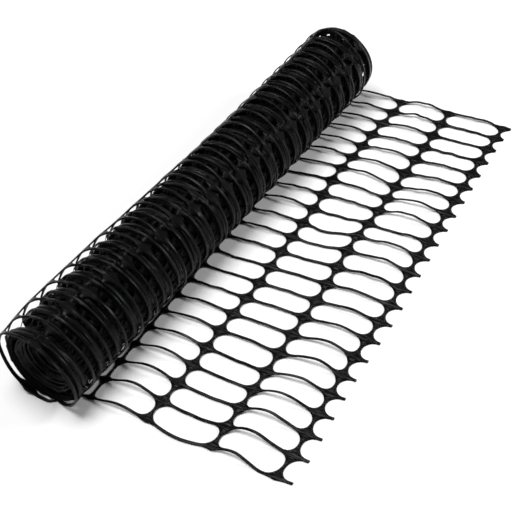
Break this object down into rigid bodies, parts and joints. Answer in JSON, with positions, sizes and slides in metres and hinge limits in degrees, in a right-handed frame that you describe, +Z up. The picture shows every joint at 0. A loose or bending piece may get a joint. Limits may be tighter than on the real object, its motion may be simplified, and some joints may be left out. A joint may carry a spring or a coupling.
{
  "type": "roll of safety barrier mesh",
  "caption": "Roll of black plastic safety barrier mesh with oval openings, its loose end drawn out flat on the floor and its outermost turn standing off one end.",
  "frame": {"origin": "middle of the footprint, on the floor that the net lies on", "axes": "+Z up, +Y along the roll from its near end to its far end, +X from the roll towards the cut end of the net"},
  "size_m": [0.5464, 1.0558, 0.1662],
  "materials": {
    "black_polyethylene": "extruded and stretched, slightly glossy"
  },
  "bodies": {
    "root": {"wound_roll": "black_polyethylene", "loose_turn": "black_polyethylene", "loose_end": "black_polyethylene"}
  },
  "joints": []
}
